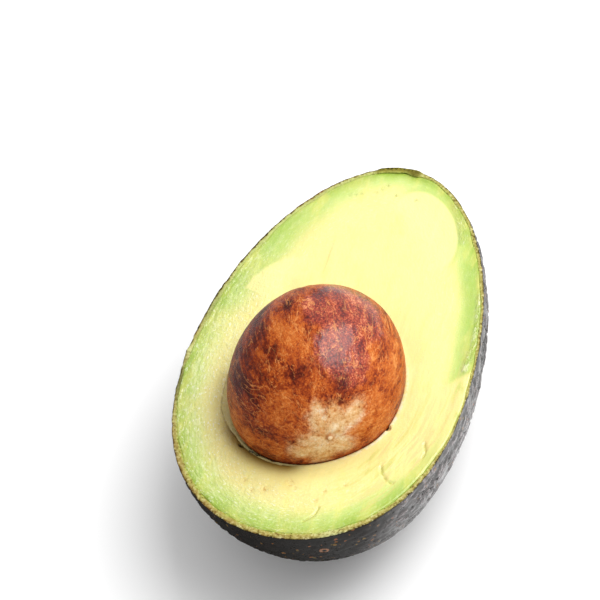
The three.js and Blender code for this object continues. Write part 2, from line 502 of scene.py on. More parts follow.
# A pale grey wax bloom on the pebble tops, together with painted sheen: strongest on the right side and
# towards the cut, and kept off the shaded bottom
bloom_and_sheen = blotches(tree, place, 1.2, 3.0, 0.4, 0.65)
bloom_and_sheen = times(tree, bloom_and_sheen, rise_between(tree, height, 0.5, 1.0))
bloom_and_sheen = times(tree, bloom_and_sheen, rise_between(tree, axes["X"], 0.0, 20.0, 0.3, 0.75))
bloom_and_sheen = times(tree, bloom_and_sheen, rise_between(tree, axes["Y"], 6.0, -18.0, 0.2, 1.0))
bloom_and_sheen = times(tree, bloom_and_sheen, rise_between(tree, axes["Z"], -15.0, -5.0, 0.1, 1.0))
outer = mixed(tree, times(tree, bloom_and_sheen, lit_glossy_side), outer, seen(150, 139, 141))
grime = blotches(tree, place, 0.9, 5.0, 0.45, 0.78, 0.65)
outer = painted(tree, outer, seen(66, 48, 40), grime, 0.45)
# Painted shade: the skin darkened towards the blossom end and the left
outer = painted(tree, outer, seen(20, 17, 14), matt_shaded_bottom, 0.8)
# Painted shade in the valleys between the pebbles
valley_shade = rise_between(tree, height, 0.55, 0.05)
outer = painted(tree, outer, seen(14, 12, 9), valley_shade, 0.8)
pit_place = stretched(tree, place, (1.0, 0.45, 1.0))
pits = placed_group(tree, flecks, {"Place": pit_place, "Scale": 1.5, "Size": 0.3, "Share": 0.5})
outer = painted(tree, outer, seen(26, 22, 18), pits["Mask"], 0.35)
fleck = placed_group(tree, flecks, {"Place": place, "Scale": 0.62, "Size": 0.24, "Share": 0.7})
rust = mixed(tree, fleck["Tone"], seen(138, 78, 44), seen(112, 94, 42))
outer = painted(tree, outer, rust, fleck["Mask"], 0.75)
woody = mixed(tree, speckle(tree, place, 1.6, 4.0), seen(60, 42, 28), seen(140, 110, 74))
outer = mixed(tree, mark(tree, "stem"), outer, woody)
ring_distance = mark(tree, "blossom")
scar_ring = rise_between(tree, ring_distance, 0.45, 0.75)
scar_ring = times(tree, scar_ring, rise_between(tree, ring_distance, 1.35, 1.0))
outer = mixed(tree, scar_ring, outer, seen(138, 98, 74))
crumb = speckle(tree, place, 1.6, 5.0, 0.7)
raggedness = maths(tree, "SUBTRACT", speckle(tree, place, 0.8, 4.0), 0.5)
ragged_cut = maths(tree, "MULTIPLY_ADD", raggedness, 0.8, cut)
ragged_cut = maths(tree, "MULTIPLY_ADD", mark(tree, "rind"), -0.22, ragged_cut)
band = tints(
    tree,
    ragged_cut,
    (
        (0.02, seen(40, 36, 18)),
        (0.09, seen(112, 102, 50)),
        (0.28, seen(160, 150, 82)),
        (0.6, seen(174, 166, 92)),
        (0.82, seen(164, 172, 78)),
        (1.0, seen(156, 182, 66)),
    ),
)
band = painted(tree, band, seen(222, 218, 164), rise_between(tree, crumb, 0.5, 0.68), 0.75)
band = painted(tree, band, seen(92, 76, 30), rise_between(tree, crumb, 0.47, 0.36), 0.85)
reddish = times(tree, blotches(tree, place, 0.5, 3.0, 0.35, 0.6), mark(tree, "reddish"))
band = painted(tree, band, seen(142, 92, 54), reddish, 0.6)
band = painted(tree, band, seen(58, 56, 26), mark(tree, "dark_rim"), 0.75)
greened = times(tree, mark(tree, "rind"), rise_between(tree, ragged_cut, 0.15, 0.4, 0.0, 0.65))
band = mixed(tree, greened, band, seen(186, 202, 126))
torn_share = maths(tree, "MULTIPLY", mark(tree, "torn"), rise_between(tree, crumb, 0.3, 0.55), clamp=True)
band = mixed(tree, torn_share, band, seen(206, 210, 150))
lip_colour = tints(
    tree,
    cut,
    (
        (0.44, seen(34, 30, 14)),
        (0.56, seen(110, 104, 46)),
        (0.66, seen(172, 168, 80)),
        (0.8, seen(222, 224, 132)),
    ),
)
lip_colour = mixed(tree, rise_between(tree, crumb, 0.35, 0.6), seen(142, 134, 52), lip_colour)
lip_colour = painted(tree, lip_colour, seen(112, 104, 46), mark(tree, "lump"), 0.65)
band = mixed(tree, mark(tree, "lip"), band, lip_colour)
pores = placed_group(tree, flecks, {"Place": place, "Scale": 1.5, "Size": 0.34, "Share": 0.6})
pored = times(tree, rise_between(tree, cut, 0.6, 0.9, 0.1, 1.0), mark(tree, "notched"))
pored = times(tree, pores["Mask"], pored)
band = mixed(tree, pored, band, seen(72, 60, 26))
peel_colour = mixed(tree, rise_between(tree, cut, 0.0, 0.05), outer, band)
waxy = rise_between(tree, axes["X"], -8.0, 16.0, 0.35, 1.0)
waxy = times(tree, waxy, maths(tree, "MULTIPLY_ADD", lit_glossy_side, 0.75, 0.25))
waxy = times(tree, waxy, maths(tree, "MULTIPLY_ADD", pits["Mask"], -0.6, 1.0))
waxy = times(tree, waxy, rise_between(tree, axes["Y"], 14.0, -12.0, 0.75, 1.0))
gloss = rise_between(tree, speckle(tree, place, 0.5, 3.0), 0.3, 0.7, 0.2, 0.32)
gloss = maths(tree, "MULTIPLY_ADD", matt_shaded_bottom, 0.12, gloss)
gloss = maths(tree, "ADD", gloss, times(tree, rise_between(tree, cut, 0.0, 0.2), 0.14))
fine = speckle(tree, stretched(tree, place, (1.0, 0.6, 1.0)), 2.2, 5.0, 0.6)
fine = maths(tree, "SUBTRACT", fine, times(tree, pits["Mask"], 0.8))
bump = add_node(tree, "Bump", {"Strength": 0.45, "Distance": 0.22 * MM, "Height": fine})
give_surface(
    tree, surface,
    {
        "Base Color": peel_colour, "Roughness": gloss, "Normal": bump.outputs[0],
        "Specular IOR Level": 0.0, "Coat IOR": 1.75,
        "Coat Weight": times(tree, waxy, rise_between(tree, cut, 0.05, 0.0)),
        "Coat Roughness": 0.1,
    },
)
skin.data.materials.append(peel)
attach(skin, "root")
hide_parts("skin")

# The flesh is one soft, moist, buttery mass, green by the skin and pale yellow inside. The knife
# left it almost flat, with drag lines, a ledge, three short cracks and a few bruised threads,
# and the seed's socket is a little wide of the seed on the blossom side.
FACE_RINGS = 96
SOCKET_RINGS = 20
BACK_RINGS = 14
FLESH_GAP = 0.04
FLESH_FOOT = 1.5
SEED_RADIUS = 17.7
SEED_STRETCH = 1.124
SEED_TURN = math.radians(-7.4)
SEED_LUMP = 0.012
SEED_FULLNESS = 0.066
SEED_LEAN = 0.016
SEED_CORNER = 0.04
SOCKET_CLEARANCE = 0.08
SOCKET_SLACK = 0.12
SHOULDER_WIDTH = 5.0
SHOULDER_DROP = 0.3
EDGE_ROUND = 0.45
CRACKS = (
    ((18.3, -29.6), (18.9, -31.2), (20.4, -33.0), (21.9, -33.4)),
    ((8.4, -41.4), (8.0, -43.4), (6.2, -45.2)),
    ((25.6, -22.6), (26.4, -24.6), (26.2, -26.2)),
)
CRACK_WIDTH = 0.19
CRACK_DEPTH = 0.4
SLITS = (
    ((-20.5, -10.9), (-20.4, -12.2), 0.22),
    ((-13.0, -28.4), (-11.9, -29.1), 0.24),
    ((-10.0, -29.5), (-7.8, -30.5), 0.26),
    ((-5.5, -31.2), (-3.8, -31.6), 0.16),
)
SLIT_DEPTH = 1.2
CREASE = ((168, 3.9), (185, 3.8), (200, 3.4), (212, 2.2), (222, 1.1), (232, 0.75), (262, 0.6), (275, 0.2))
CREASE_SHADE_REACH = 1.9
MOUTH_DIP = 1.1
THREADS = (
    (-8.8, -37.3, 0.5), (-3.9, -38.8, 0.7), (-6.4, -39.6, 0.4), (0.8, -36.5, 0.8), (2.2, -37.6, 0.4),
    (7.1, -39.8, 0.5), (8.4, -37.4, 0.4), (-8.3, 40.2, 0.4), (-7.0, 40.4, 0.45), (-5.7, 40.8, 0.4),
    (-2.7, 41.5, 0.45), (-1.6, 42.7, 0.45), (-0.6, 43.8, 0.5), (2.0, 41.2, 0.5), (12.2, -35.2, 0.35),
    (6.8, 40.4, 0.4),
)
LEDGE = ((-24.5, 8), (-21.3, 17.5), (-13.5, 18.6), (-9, 22.5))
GROOVE = ((-14.5, 12.5), (-20.5, 3.5), (-23.3, -6), (-23.0, -14), (-20.0, -21.5))
CHIP = (17.2, -20.2)
SCUFF = ((16.2, 40.0), (18.4, 35.6), (20.2, 30.6))
TORN_STRIP = ((27.6, 16.0), (29.0, 9.0), (29.6, 3.0), (29.2, -3.2))
GREEN_STREAK = ((28.2, -7.5), (28.0, -13.5))
PALE_PATCH = (11, 32.3)
PALE_PATCH_HALF = (6.8, 11.8)
PALE_PATCH_ALONG = (0.87, 0.5)
LEDGE_PATCH = (-12.7, 9.2)
LEDGE_PATCH_HALF = (11.6, 12.6)
# Each band's middle and half width round the face in degrees, the depths that it is full to and
# ends at, and its strength
GREEN_BANDS = ((138, 26, 3.5, 10, 0.75), (272, 46, 1.5, 7.5, 0.65), (-42, 26, 1.0, 3.0, 0.8))


def seed_points(sweep, fall, clearance):
    """Points on the seed or its socket. Sweep goes round it, and fall from its foot at 0 to its top at pi."""
    side = np.sin(fall)
    unit = np.stack(np.broadcast_arrays(side * np.cos(sweep), side * np.sin(sweep), -np.cos(fall)), axis=-1)
    lumps = 1 + SEED_LUMP * np.sin(2 * sweep + 1) * side**2 + SEED_LUMP * unit[..., 2] * unit[..., 1]
    low_band = np.exp(-(((unit[..., 2] + 0.3) / 0.6) ** 2)) * side**2
    lumps += SEED_FULLNESS * hump(sweep, 228, 30) * low_band
    low_band = np.exp(-(((unit[..., 2] + 0.25) / 0.5) ** 2)) * side**2
    lumps += SEED_CORNER * hump(sweep, 338, 20) * low_band
    lumps -= SEED_LEAN * side * np.cos(sweep - math.radians(18))
    scaled = unit * (SEED_RADIUS * lumps + clearance)[..., None] * (1, SEED_STRETCH, 1)
    x, y, z = np.moveaxis(scaled, -1, 0)
    c, s = math.cos(SEED_TURN), math.sin(SEED_TURN)
    return np.stack([c * x - s * y, s * x + c * y, z], axis=-1) + np.array(SEED_CENTRE)


def line_distance(points, line):
    """The distance of points in the face from a line of corners."""
    nearest = np.full(points.shape[:-1], 99.0)
    for a, b in zip(np.array(line[:-1]), np.array(line[1:])):
        share = np.clip(((points - a) @ (b - a)) / ((b - a) @ (b - a)), 0, 1)
        nearest = np.minimum(nearest, np.linalg.norm(points - a - share[..., None] * (b - a), axis=-1))
    return nearest


def line_mask(points, line, half_width):
    """1 on a line in the face, falling off smoothly beside it."""
    return np.exp(-((line_distance(points, line) / half_width) ** 2))


def distance_to(points, corners):
    """The distance of rings of points from the nearest of some corners."""
    nearby = KDTree(len(corners))
    for index, corner in enumerate(corners):
        nearby.insert(corner, index)
    nearby.balance()
    found = [nearby.find(point)[2] for point in points.reshape(-1, 3)]
    return np.array(found).reshape(points.shape[:2])


flesh_inset = edge_width(turns) + FLESH_GAP
back_share = np.linspace(1 / BACK_RINGS, 1, BACK_RINGS)[:, None]
flesh_back = back_points(turns[None], back_share, flesh_inset)
flesh_rim = flesh_back[-1]
slack = SOCKET_SLACK * hump(turns, 228, 48)
mouth_height = -MOUTH_DIP * hump(turns, 224, 38)
mouth_fall = np.full(SIDES, 1.3)
for _ in range(8):
    mouth = seed_points(turns, mouth_fall, SOCKET_CLEARANCE + slack)
    mouth_fall += (mouth_height - mouth[:, 2]) / SEED_RADIUS
mouth[:, 2] = 0
share = np.linspace(0, 1, FACE_RINGS)[:, None, None] ** 1.15
face = flesh_rim * (1 - share) + mouth * share
from_rim = distance_to(face, flesh_rim)
from_seed = distance_to(face, mouth)

# The face is almost flat: low swells and drag lines, torn cells by the skin, and the knife's marks
flat = face[..., :2]
from_edges = np.minimum(from_rim, from_seed)
rise = 0.12 * soft_noise(face, 13, 21) + 0.07 * soft_noise(face, 5, 22)
rise *= smooth_step(0.2, 2.5, from_edges)
rise += 0.02 * soft_noise(face * (1, 0.12, 1), 0.9, 23) * smooth_step(0.1, 0.8, from_edges)
from_right = (degrees + 180) % 360 - 180
rough_side = 0.1 + 0.9 * hump(turns, 205, 74) * (0.35 + 0.65 * smooth_step(138, 160, degrees))
rough_face = rough_side * smooth_step(15, 8, from_rim)
rough_face = np.maximum(rough_face, 0.75 * line_mask(flat, SCUFF, 1.1))
torn_strip = line_mask(flat, TORN_STRIP, 0.8)
rough_face = np.maximum(rough_face, torn_strip)
torn_cells = rough_face * smooth_step(0.05, 0.6, from_edges)
round_face = np.broadcast_arrays(10 * np.cos(turns), 16 * np.sin(turns), from_rim)
round_face = np.stack(round_face, axis=-1)
rise += (0.07 * soft_noise(round_face, 0.55, 24) + 0.05 * soft_noise(round_face, 0.3, 26)) * torn_cells
shoulder = np.clip(1 - from_rim / SHOULDER_WIDTH, 0, 1) ** 2
rise -= SHOULDER_DROP * shoulder * smooth_step(0.0, 1.2, from_rim) * hump(turns, 175, 60)
rise += 0.12 - 0.12 * np.clip(1 - from_rim / EDGE_ROUND, 0, 1) ** 2
rise += 0.15 * hump(turns, -22, 35) * smooth_step(3.0, 0.6, from_rim) * smooth_step(0.0, 0.4, from_rim)
rise -= 0.35 * line_mask(flat, GROOVE, 2.2) * smooth_step(0.5, 3, from_edges)
ledge_side = smooth_step(-0.5, 0.5, flat[..., 1] - 17.9 - 0.05 * flat[..., 0])
rise -= 0.16 * ledge_side * line_mask(flat, LEDGE, 4) * (flat[..., 0] < -8)
cracked = np.zeros(rise.shape)
for line in CRACKS:
    cracked = np.maximum(cracked, line_mask(flat, line, CRACK_WIDTH))
rise -= CRACK_DEPTH * cracked
# The slits by the seed: holes carved in the face, and the mask for the painted shade in them
holes_and_shade = np.zeros(rise.shape)
for start, end, half_width in SLITS:
    ragged = half_width * (1 + 0.5 * soft_noise(face, 0.6, 25))
    holes_and_shade = np.maximum(holes_and_shade, smooth_step(1.15, 0.6, line_distance(flat, (start, end)) / ragged))
rise -= SLIT_DEPTH * holes_and_shade
# The crease where the flesh was pressed away from the seed, at the seed's lower left, with painted shade
# beside it and between it and the seed, and a painted dark line along it
round_seed = np.degrees(np.arctan2(flat[..., 1] - SEED_CENTRE.y, flat[..., 0] - SEED_CENTRE.x)) % 360
past_crease = from_seed - np.interp(round_seed, *zip(*CREASE))
by_crease = smooth_step(168, 180, round_seed) * smooth_step(278, 264, round_seed)
below = smooth_step(202, 226, round_seed)
shade = 0.8 * np.exp(-((past_crease / CREASE_SHADE_REACH) ** 2)) + 0.2 * np.exp(-((past_crease / 5) ** 2))
crease_shade = by_crease * np.where(past_crease > 0, shade * (0.35 + 0.65 * below), 0.5 - 0.5 * below)
crease_groove_and_shade = by_crease * np.exp(-((past_crease / 0.14) ** 2))
film = by_crease * below * smooth_step(0.05, -0.25, past_crease)
rise -= 0.2 * crease_groove_and_shade
rise += 0.5 * mouth_height * (smooth_step(4.6, 0.3, from_seed) + smooth_step(1.5, 0.0, from_seed))
bruised = np.zeros(rise.shape)
for x, y, size in THREADS:
    bruised = np.maximum(bruised, np.exp(-((np.linalg.norm(flat - (x, y), axis=-1) / size) ** 2)))
rise -= 0.12 * bruised
chip = smooth_step(0.75, 0.35, np.linalg.norm(flat - CHIP, axis=-1))
rise -= 0.7 * chip
bruised = np.maximum(bruised, 0.9 * chip)
rise += 0.12 * smooth_step(1.6, 0.3, from_seed)
rise -= (0.1 + 0.12 * hump(turns, 270, 40)) * smooth_step(0.25, 0.0, from_seed)
rise -= 0.3 * smooth_step(3.2, 0.9, from_rim) * hump(turns, 88, 9)
face[..., 2] = rise
flesh_back[-1, :, 2] = rise[0] - 0.15

socket_share = np.linspace(1, 0, SOCKET_RINGS + 1)[1:-1]
socket_rings = []
for part in socket_share:
    clearance = SOCKET_CLEARANCE + slack * part**3
    ring = seed_points(turns, mouth_fall * part, clearance)
    socket_rings.append(ring)
flesh_rings = np.concatenate([flesh_back, face, socket_rings])
flesh_foot = back_points(np.zeros(1), np.zeros(1), SKIN_THICKNESS + FLESH_GAP)[0]
flesh_top = seed_points(np.zeros(1), np.zeros(1), np.full(1, SOCKET_CLEARANCE))[0]


def face_marks(values, before=0.0, after=0.0):
    """Values for the cut face, with plain ones for the rings before and after it."""
    rings = [before] * BACK_RINGS + [*values] + [after] * len(socket_rings)
    return ring_marks(before, rings, after)


def vector_marks(vectors):
    """Vectors for the cut face, with plain ones for the rings before and after it."""
    axes = [face_marks(vectors[..., axis]) for axis in range(3)]
    return np.stack(axes, axis=-1)


# The flesh is paler on two flat patches, where the knife lifted a flake, and greener or browner than
# its depth says in bands and streaks
lobe = flat - PALE_PATCH
way_x, way_y = PALE_PATCH_ALONG
lobe = np.stack([lobe @ (way_x, way_y), lobe @ (-way_y, way_x)], axis=-1)
pale_patch = np.linalg.norm(lobe / PALE_PATCH_HALF, axis=-1)
lobe = np.linalg.norm((flat - LEDGE_PATCH) / LEDGE_PATCH_HALF, axis=-1)
lobe += 3 * smooth_step(12, 4, flat[..., 1]) + 0.05 * soft_noise(face, 1.6, 27)
pale_patch = np.minimum(pale_patch, lobe)
# Where the flesh meets the seed on the right, the line for a painted wet highlight
wet_glint_line = hump(turns, 345, 42) * smooth_step(1.0, 0.5, from_seed)
torn_face = hump(turns, 205, 55) * smooth_step(1.2, 2.4, from_rim) * smooth_step(6.0, 4.0, from_rim)
torn_face = np.maximum(torn_face, 1.4 * torn_strip)
dragged = hump(turns, -30, 28) * smooth_step(0.8, 2.5, from_rim) * smooth_step(0.8, 3.0, from_seed)
green_side = smooth_step(-5, -2.5, from_right) * smooth_step(62, 28, from_right)
green_side = green_side * smooth_step(5.8, 1.8, from_rim)
for middle, half_width, full, end, strength in GREEN_BANDS:
    green_band = strength * hump(turns, middle, half_width) * smooth_step(end, full, from_rim)
    green_side = np.maximum(green_side, green_band)
green_side = np.maximum(green_side, 0.5 * line_mask(flat, GREEN_STREAK, 1.2))
green_side = green_side * smooth_step(0.2, 1.2, from_rim)
turned_tan = smooth_step(-3.0, -5.5, from_right) * smooth_step(-50, -26, from_right)
turned_tan = turned_tan * smooth_step(-0.4, 0.4, from_rim) * smooth_step(8.5, 4.5, from_rim)
turned_tan *= 1 - 0.9 * hump(turns, -42, 18) * smooth_step(3.2, 2.0, from_rim)
flesh_places = np.concatenate([flesh_foot[None], flesh_rings.reshape(-1, 3), flesh_top[None]])
flesh = closed_piece(
    "cut_flesh",
    flesh_foot,
    flesh_rings,
    flesh_top,
    {
        "from_rim": face_marks(from_rim, 0.0, 20.0),
        "from_seed": face_marks(from_seed, 20.0, 0.0),
        "bruised": face_marks(bruised),
        "holes_and_shade": face_marks(holes_and_shade),
        "crease_shade": face_marks(crease_shade),
        "crease_groove_and_shade": face_marks(crease_groove_and_shade),
        "film": face_marks(film),
        "wet_glint_line": face_marks(wet_glint_line),
        "torn": face_marks(torn_face),
        "cracked": face_marks(cracked),
        "rough": face_marks(rough_face),
        "green": face_marks(green_side),
        "tan": face_marks(turned_tan),
        "dragged": face_marks(dragged),
        "pale_patch": face_marks(pale_patch, 9.0, 9.0),
        "round": vector_marks(round_face),
        "place": flesh_places,
    },
    FLESH_FOOT,
)

buttery, tree, surface = new_material("buttery_flesh")
place = mark(tree, "place", vector=True)
along = stretched(tree, place, (1.0, 0.3, 1.0))
round_place = mark(tree, "round", vector=True)
rim_depth = mark(tree, "from_rim")
ragged_depth = maths(tree, "MULTIPLY_ADD", speckle(tree, along, 0.4, 4.0), 1.4, rim_depth)
ragged_depth = maths(tree, "MULTIPLY_ADD", speckle(tree, place, 0.1, 2.0), 1.6, ragged_depth)
depth = times(tree, maths(tree, "SUBTRACT", ragged_depth, 1.7), 0.1)
body = tints(
    tree,
    depth,
    (
        (0.0, seen(150, 176, 62)),
        (0.05, seen(154, 180, 66)),
        (0.1, seen(168, 193, 82)),
        (0.2, seen(188, 209, 110)),
        (0.31, seen(204, 219, 128)),
        (0.46, seen(222, 226, 140)),
        (0.62, seen(232, 226, 148)),
        (0.82, seen(237, 225, 148)),
    ),
)
clouds = blotches(tree, place, 0.09, 3.0, 0.42, 0.7)
body = painted(tree, body, seen(238, 218, 134), clouds, 0.4)
body = painted(tree, body, seen(162, 192, 84), mark(tree, "green"), 0.85)
yellows = rise_between(tree, speckle(tree, along, 0.3, 4.0), 0.5, 0.68)
body = painted(tree, body, seen(240, 226, 122), yellows, 0.3)
streaks = blotches(tree, along, 1.3, 5.0, 0.52, 0.68, 0.7)
body = painted(tree, body, seen(230, 234, 160), streaks, 0.2)
ragged = blotches(tree, round_place, 0.8, 5.0, 0.5, 0.6, 0.75)
body = painted(tree, body, seen(228, 234, 176), times(tree, mark(tree, "torn"), ragged), 0.6)
wet_cells = speckle(tree, round_place, 2.2, 4.0, 0.7)
fleshy = mark(tree, "rough")
pale_cells = times(tree, rise_between(tree, wet_cells, 0.52, 0.62), fleshy)
body = painted(tree, body, seen(232, 236, 178), pale_cells, 0.5)
green_zone = rise_between(tree, rim_depth, 7.0, 4.0)
deep_cells = times(tree, times(tree, rise_between(tree, wet_cells, 0.46, 0.36), fleshy), green_zone)
body = painted(tree, body, seen(166, 186, 84), deep_cells, 0.35)
# Painted glints: near-white flecks on the torn cells, standing in for highlights on the moist flesh
painted_glints = times(tree, blotches(tree, round_place, 2.8, 2.0, 0.6, 0.66, 0.6), fleshy)
painted_glints = times(tree, painted_glints, rise_between(tree, rim_depth, 1.5, 5.0, 0.5, 0.9))
body = mixed(tree, painted_glints, body, seen(250, 250, 224))
# Painted shadow: a darker green line just outside the edge of the pale patches
ledge_edge_shadow = times(tree, rise_between(tree, mark(tree, "pale_patch"), 1.16, 1.03), green_zone)
body = painted(tree, body, seen(176, 198, 96), ledge_edge_shadow, 0.35)
lobe_mask = rise_between(tree, mark(tree, "pale_patch"), 1.04, 0.94)
lobe_mask = times(tree, lobe_mask, rise_between(tree, rim_depth, 13.0, 8.0))
body = painted(tree, body, seen(240, 232, 156), lobe_mask, 0.8)
tan_share = times(tree, mark(tree, "tan"), blotches(tree, along, 0.5, 3.0, 0.25, 0.5))
body = mixed(tree, tan_share, body, seen(229, 219, 143))
drags = speckle(tree, stretched(tree, round_place, (0.22, 0.22, 1.0)), 0.7, 4.0, 0.6, 0.4)
dull_drags = times(tree, rise_between(tree, drags, 0.5, 0.62), mark(tree, "dragged"))
body = painted(tree, body, seen(196, 200, 104), dull_drags, 0.75)
creamy_drags = times(tree, rise_between(tree, drags, 0.48, 0.38), mark(tree, "dragged"))
body = painted(tree, body, seen(220, 196, 128), creamy_drags, 0.6)
# Painted shade of the seed: the flesh darker and browner within 8 mm of it
shade_near_seed = rise_between(tree, mark(tree, "from_seed"), 8.0, 0.0)
body = painted(tree, body, seen(230, 208, 136), shade_near_seed, 0.3)
# Painted shade: brown in and beside the crease by the seed
body = painted(tree, body, seen(132, 98, 24), mark(tree, "crease_shade"), 0.95)
filmy = mixed(tree, speckle(tree, place, 1.4, 4.0), seen(158, 138, 74), seen(230, 222, 170))
body = painted(tree, body, filmy, mark(tree, "film"), 0.75)
broken = blotches(tree, place, 0.5, 3.0, 0.35, 0.6)
# Painted shade along the crease line
crease_line_shading = times(tree, mark(tree, "crease_groove_and_shade"), broken)
body = painted(tree, body, seen(112, 86, 34), crease_line_shading, 0.6)
# Painted highlight: a near-white wet glint along the flesh where it meets the seed
wet_glint = times(tree, mark(tree, "wet_glint_line"), blotches(tree, place, 0.9, 3.0, 0.35, 0.6))
body = painted(tree, body, seen(250, 245, 218), wet_glint, 0.8)
frayed = blotches(tree, place, 1.6, 4.0, 0.42, 0.6, 0.7)
threads = times(tree, mark(tree, "bruised"), frayed)
stemward = rise_between(tree, add_node(tree, "SeparateXYZ", {0: place}).outputs["Y"], -10.0, 10.0)
thread_colour = mixed(tree, stemward, seen(196, 150, 72), seen(158, 166, 84))
body = painted(tree, body, thread_colour, threads, 0.8)
body = painted(tree, body, seen(184, 180, 74), mark(tree, "cracked"), 0.75)
# Painted shade: the slits by the seed filled with near-black
body = mixed(tree, mark(tree, "holes_and_shade"), body, seen(34, 18, 6))
cells = add_node(tree, "TexVoronoi", {"Vector": place, "Scale": 2.6}, feature="SMOOTH_F1").outputs["Distance"]
grain = maths(tree, "MULTIPLY_ADD", wet_cells, 1.6, times(tree, cells, 0.5))
coarse = rise_between(tree, fleshy, 0.0, 0.8, 0.15, 1.0)
smear = speckle(tree, along, 0.6, 3.0)
grain = maths(tree, "MULTIPLY_ADD", grain, coarse, times(tree, smear, 0.25))
bump = add_node(tree, "Bump", {"Strength": 0.8, "Distance": 0.3 * MM, "Height": grain})
moist = rise_between(tree, speckle(tree, place, 0.3, 4.0, 0.7), 0.4, 0.65, 0.25, 1.0)
moist = times(tree, moist, maths(tree, "MULTIPLY_ADD", mark(tree, "crease_shade"), -0.95, 1.0, clamp=True))
wet = rise_between(tree, speckle(tree, place, 0.35, 4.0, 0.7), 0.35, 0.7, 0.34, 0.5)
give_surface(
    tree, surface,
    {
        "Base Color": body, "Roughness": wet, "Normal": bump.outputs[0], "Specular IOR Level": 0.3,
        "Coat Weight": moist, "Coat Roughness": 0.12,
        "Subsurface Weight": 0.15, "Subsurface Radius": (1.0, 0.8, 0.4), "Subsurface Scale": 0.8 * MM,
    },
)
flesh.data.materials.append(buttery)
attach(flesh, "root")
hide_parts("flesh")

# The seed is one hard egg in a thin papery coat, and lies loose in its socket, well out of the cut.
# The coat's fibres all run from a nub on its blossom side, where it is pale and rubbed. The rest is
# mottled brown, purplish where it faces up.
SEED_SIDES = 440
SEED_RINGS = 216
SEED_WAVES = 0.14
NUB = (0.57, -0.8, 0.16)
NUB_HEIGHT = 0.35
NUB_HOLLOW = 0.15
FIBRE_PULL = 0.22
PATCH_PULL = 1.5
DARK_PATCHES = (
    (0.15, -0.57, 0.81, 0.13), (-0.3, -0.35, 0.89, 0.14), (0.63, -0.45, 0.64, 0.12),
    (-0.1, -0.96, 0.24, 0.14), (0.8, 0.22, 0.55, 0.16), (-0.34, 0.18, 0.92, 0.13),
    (-0.48, -0.68, 0.55, 0.26), (-0.53, -0.18, 0.83, 0.16), (-0.04, 0.56, 0.83, 0.1),
    (-0.7, 0.1, 0.6, 0.3), (0.2, 0.9, 0.2, 0.3), (-0.03, -0.71, 0.7, 0.07),
)
ORANGE_PATCHES = (
    (0.03, -0.78, 0.63, 0.15), (-0.09, -0.88, 0.47, 0.13), (0.9, 0.25, 0.35, 0.17),
    (0.84, -0.5, 0.1, 0.22), (-0.07, -0.21, 0.98, 0.16), (-0.06, 0.23, 0.97, 0.09),
    (0.14, -0.4, 0.91, 0.1), (0.94, -0.24, 0.25, 0.2), (0.78, 0.03, 0.62, 0.13),
    (0.92, -0.03, 0.38, 0.14), (-0.8, -0.5, 0.1, 0.3), (-0.3, 0.7, 0.4, 0.3),
)
PURPLE_PATCHES = (
    (0.45, 0.1, 0.88, 0.3), (0.45, 0.5, 0.74, 0.32), (0.62, -0.1, 0.78, 0.26),
    (0.15, 0.6, 0.79, 0.26), (0.4, -0.15, 0.9, 0.2), (0.05, 0.25, 0.97, 0.2),
)
PALE_PATCHES = (
    (0.48, -0.79, 0.38, 0.16), (0.45, -0.87, 0.15, 0.22), (0.63, -0.72, 0.28, 0.2),
    (0.3, -0.95, 0.03, 0.17), (0.6, -0.68, 0.42, 0.13), (0.76, -0.57, 0.32, 0.16),
    (0.5, -0.87, -0.03, 0.22), (0.64, -0.76, 0.02, 0.17), (0.45, -0.73, 0.52, 0.1),
)

nub_way = np.array(NUB) / np.linalg.norm(NUB)
nub_side = np.cross(nub_way, (0, 0, 1))
nub_side = nub_side / np.linalg.norm(nub_side)
nub_beyond = np.cross(nub_way, nub_side)


def by_nub(units):
    """Directions as angles from the nub and round it."""
    from_nub = np.arccos(np.clip(units @ nub_way, -1, 1))
    return from_nub, np.arctan2(units @ nub_beyond, units @ nub_side)


def patch_mask(units, patches):
    """How deep points lie in any of the patches, each a direction and a size, drawn out along the fibres."""
    from_nub, around = by_nub(units)
    mask = np.zeros(units.shape[:-1])
    for *way, size in patches:
        patch_from_nub, patch_around = by_nub(np.array(way) / np.linalg.norm(way))
        along = (from_nub - patch_from_nub) / PATCH_PULL
        across = 2 * np.sin(from_nub) * np.sin((around - patch_around) / 2)
        mask = np.maximum(mask, np.exp(-((along**2 + across**2) / size**2)))
    return mask


sweeps = np.arange(SEED_SIDES)[None] / SEED_SIDES * 2 * math.pi
falls = np.arange(1, SEED_RINGS)[:, None] / SEED_RINGS * math.pi
level = np.sin(falls)
seed_units = np.broadcast_arrays(level * np.cos(sweeps), level * np.sin(sweeps), -np.cos(falls))
seed_units = np.stack(seed_units, axis=-1)
on_seed = seed_units * SEED_RADIUS
from_nub, around_nub = by_nub(seed_units)
spread = SEED_RADIUS * (0.12 + 0.88 * np.sin(from_nub))
fibre = np.stack(
    [spread * np.cos(around_nub), spread * np.sin(around_nub), SEED_RADIUS * FIBRE_PULL * from_nub], axis=-1
)
wave = SEED_WAVES * soft_noise(on_seed, 7, 41) + 0.05 * soft_noise(on_seed, 2.2, 42)
strands = 0.035 * soft_noise(fibre, 1.1, 43) + 0.025 * soft_noise(fibre, 0.5, 44)
nub_rise = NUB_HEIGHT * np.exp(-((from_nub / 0.035) ** 2))
nub_rise -= NUB_HOLLOW * np.exp(-(((from_nub - 0.06) / 0.03) ** 2))
flat_sweeps, flat_falls = np.broadcast_arrays(sweeps, falls)
seed_rings = seed_points(flat_sweeps, flat_falls, wave + strands + nub_rise)


def seed_marks(values):
    """Values for the seed's rings, with plain ones for its foot and its top."""
    return np.concatenate([values[0, :1], values.reshape(-1, *values.shape[2:]), values[-1, :1]])


